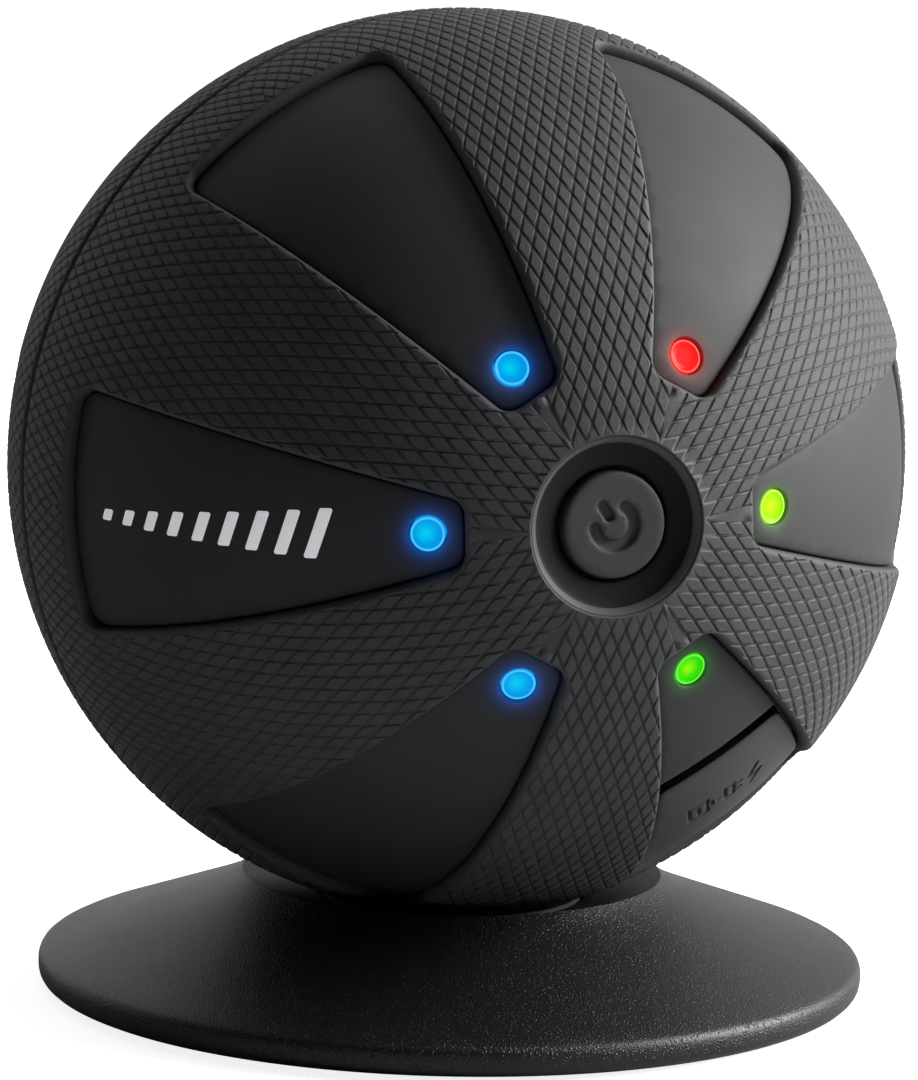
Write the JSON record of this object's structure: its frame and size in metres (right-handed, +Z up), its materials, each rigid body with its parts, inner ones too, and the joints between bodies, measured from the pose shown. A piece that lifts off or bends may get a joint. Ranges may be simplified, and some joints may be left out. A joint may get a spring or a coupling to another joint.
{
  "type": "massage ball",
  "caption": "Vibrating hand massage ball with a ribbed silicone grip, glowing panels, a pole button and a flap-covered charge port, resting on a low round stand",
  "frame": {"origin": "centre of the underside of the foot pad, on the floor", "axes": "+Z up; the ball's button pole faces -Y; +X is to the right when the button faces the viewer"},
  "size_m": [0.0824, 0.0818, 0.0897],
  "materials": {
    "grip": "matte textured silicone",
    "shell": "satin",
    "soft": "smooth",
    "stand": "satin speckled",
    "steel": "plain",
    "brass": "plain",
    "board": "solder mask",
    "light_blue": "clear tinted",
    "light_red": "clear tinted",
    "light_lime": "clear tinted",
    "light_green": "clear tinted",
    "chip": "moulded",
    "switch": "moulded",
    "nylon": "moulded",
    "chassis": "moulded",
    "windings": "laminated",
    "cell": "shrink wrap",
    "wire_red": "insulation",
    "wire_black": "insulation"
  },
  "bodies": {
    "stand": {"stand_body": "stand", "base_weight": "steel", "foot_pad": "soft", "base_screw_1": "steel", "base_screw_2": "steel", "base_screw_3": "steel"},
    "turning_seat": {"seat_ring": "soft"},
    "ball": {"front_grip_skin": "grip", "rear_grip_skin": "grip", "front_shell": "shell", "rear_shell": "shell", "seam_gasket": "soft", "button_bezel": "shell", "switch_body": "switch", "control_board": "board", "led_lens_1": "light_blue", "led_lens_2": "light_red", "led_lens_3": "light_lime", "led_lens_4": "light_green", "led_lens_5": "light_blue", "led_lens_6": "light_blue", "led_1": "chip", "led_2": "chip", "led_3": "chip", "led_4": "chip", "led_5": "chip", "led_6": "chip", "flap_hinge_pin": "steel", "charge_port_sleeve": "steel", "charge_port_tongue": "switch", "port_board": "board", "shell_screw_1": "steel", "shell_screw_2": "steel", "shell_screw_3": "steel", "shell_screw_4": "steel", "board_screw_1": "steel", "board_screw_2": "steel", "board_screw_3": "steel", "motor_chassis": "chassis", "motor_clamp": "steel", "clamp_screw_1": "steel", "clamp_screw_2": "steel", "motor_can": "steel", "motor_end_cap": "chassis", "motor_bushing_1": "brass", "motor_bushing_2": "brass", "battery_cell_1": "cell", "battery_cell_2": "cell", "battery_strap": "soft", "battery_lead_1": "wire_red", "battery_lead_2": "wire_black", "motor_lead_1": "wire_red", "motor_lead_2": "wire_black"},
    "button": {"button_cap": "soft"},
    "plunger": {"switch_plunger": "nylon"},
    "flap": {"port_flap": "soft"},
    "rotor": {"rotor_core": "windings", "rotor_shaft": "steel", "eccentric_weight_1": "steel", "eccentric_weight_2": "steel"}
  },
  "joints": [
    {"name": "ball_swivel", "type": "hinge", "parent": "stand", "child": "turning_seat", "pos_m": [0, 0, 0.0485], "axis": [0, 0, 1], "continuous": true},
    {"name": "ball_lift", "type": "slide", "parent": "turning_seat", "child": "ball", "axis": [0, 0, 1], "range_m": [0, 0.04]},
    {"name": "button_press", "type": "slide", "parent": "ball", "child": "button", "axis": [0, 1, 0], "range_m": [0, 0.0006]},
    {"name": "plunger_press", "type": "slide", "parent": "ball", "child": "plunger", "axis": [0, 1, 0], "range_m": [0, 0.0006]},
    {"name": "port_flap_hinge", "type": "hinge", "parent": "ball", "child": "flap", "pos_m": [0.01971, -0.01104, 0.0177], "axis": [0.8423, 0, 0.5391], "range_deg": [0, 35]},
    {"name": "rotor_spin", "type": "hinge", "parent": "ball", "child": "rotor", "pos_m": [0, -0.004, 0.0485], "axis": [0.999, 0, 0.0457], "continuous": true}
  ],
  "couplings": [
    {"joint": "plunger_press", "follows": "button_press", "ratio": 1}
  ]
}
